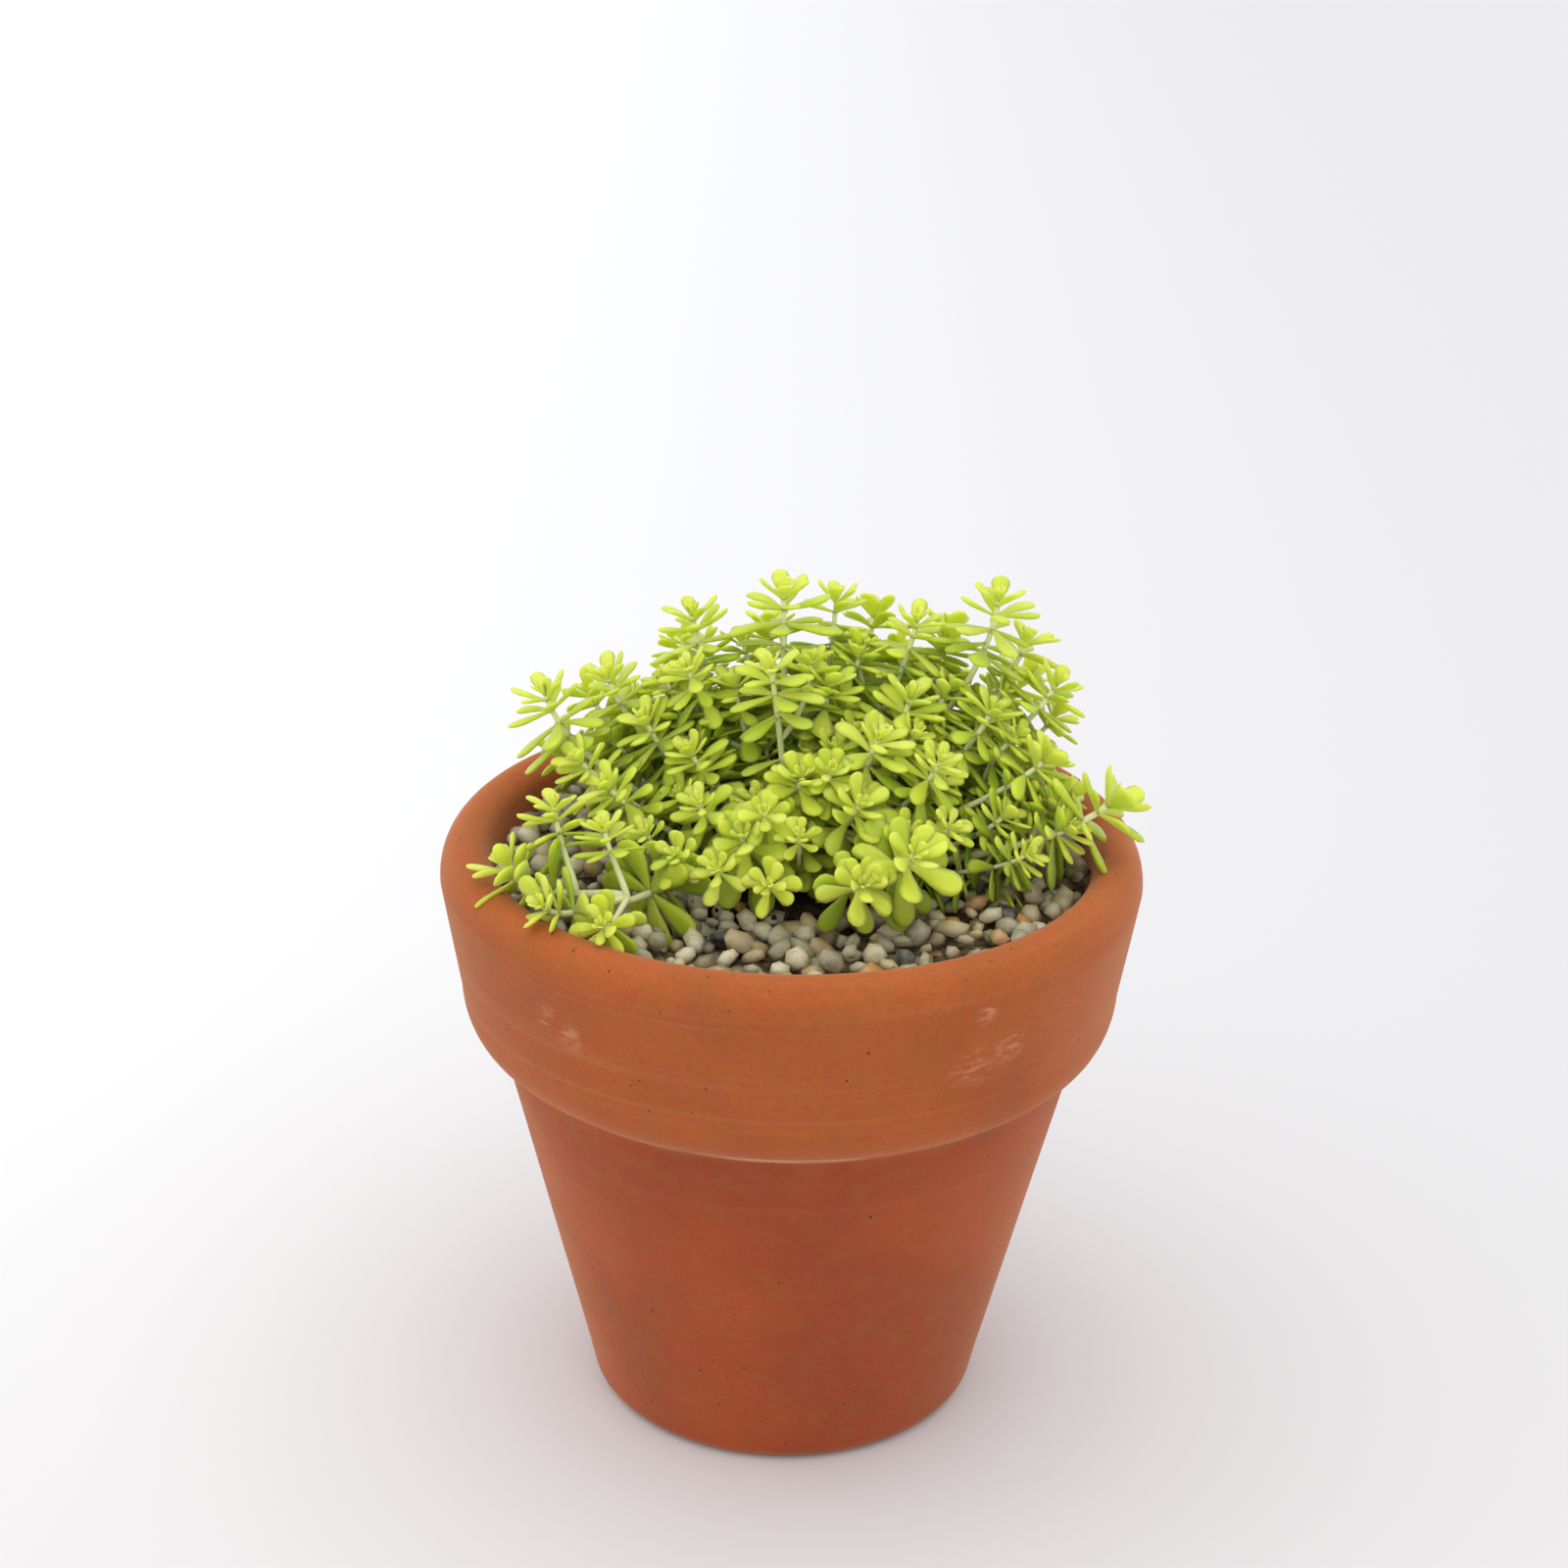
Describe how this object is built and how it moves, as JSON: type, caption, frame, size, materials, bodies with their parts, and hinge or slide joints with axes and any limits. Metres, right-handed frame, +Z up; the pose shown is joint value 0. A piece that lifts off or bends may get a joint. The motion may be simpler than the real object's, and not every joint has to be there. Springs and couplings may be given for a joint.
{
  "type": "potted sedum",
  "caption": "Clay pot planted with a golden stonecrop: a low dome of thin branching stems with club-shaped fleshy leaves, over a top dressing of grit.",
  "frame": {"origin": "the middle of the pot's foot, on the surface that the pot stands on", "axes": "+Z up along the pot's axis, -Y towards the side that the plant is seen from, +X to the viewer's right"},
  "size_m": [0.1051, 0.105, 0.1292],
  "materials": {
    "terracotta": "unglazed fired clay, matt, a little mottled, with faint lime bloom",
    "soil": "damp dark potting soil, crumbly",
    "grit": "washed mixed grit, off-white, grey, ochre and brown",
    "leafy_stem": "fleshy yellow-green leaves with a soft sheen, on pale whitish green stems"
  },
  "bodies": {
    "root": {"pot": "terracotta", "soil": "soil", "gravel": "grit", "stem_top": "leafy_stem", "stem_top_back": "leafy_stem", "stem_top_far": "leafy_stem", "stem_top_right": "leafy_stem", "stem_shoulder_right": "leafy_stem", "stem_tall_right": "leafy_stem", "stem_outer_right": "leafy_stem", "stem_star": "leafy_stem", "stem_tuft": "leafy_stem", "stem_heart": "leafy_stem", "stem_heart_front": "leafy_stem", "stem_bright": "leafy_stem", "stem_apron": "leafy_stem", "stem_elbow": "leafy_stem", "stem_front_big": "leafy_stem", "stem_front_small": "leafy_stem", "stem_front_low": "leafy_stem", "stem_front_left": "leafy_stem", "stem_front_tiny": "leafy_stem", "stem_left_step": "leafy_stem", "stem_left_low": "leafy_stem", "stem_front_dark": "leafy_stem", "stem_left_star": "leafy_stem", "stem_left_tiny": "leafy_stem", "stem_forked": "leafy_stem", "stem_left_out": "leafy_stem", "stem_left_under": "leafy_stem", "stem_left_high": "leafy_stem", "stem_shoulder_left": "leafy_stem", "stem_left_mid": "leafy_stem", "stem_left_inner": "leafy_stem", "stem_left_front": "leafy_stem", "stem_left_deep": "leafy_stem", "stem_middle_front": "leafy_stem", "stem_right_bare": "leafy_stem", "stem_right_long": "leafy_stem", "stem_right_back": "leafy_stem", "stem_right_edge": "leafy_stem", "stem_right_nest": "leafy_stem", "stem_back_right": "leafy_stem", "stem_back_low_right": "leafy_stem", "stem_back_middle": "leafy_stem", "stem_back_tall": "leafy_stem", "stem_back_low": "leafy_stem", "stem_back_left": "leafy_stem", "stem_back_left_out": "leafy_stem", "stem_back_left_high": "leafy_stem", "stem_left_back_low": "leafy_stem"}
  },
  "joints": []
}
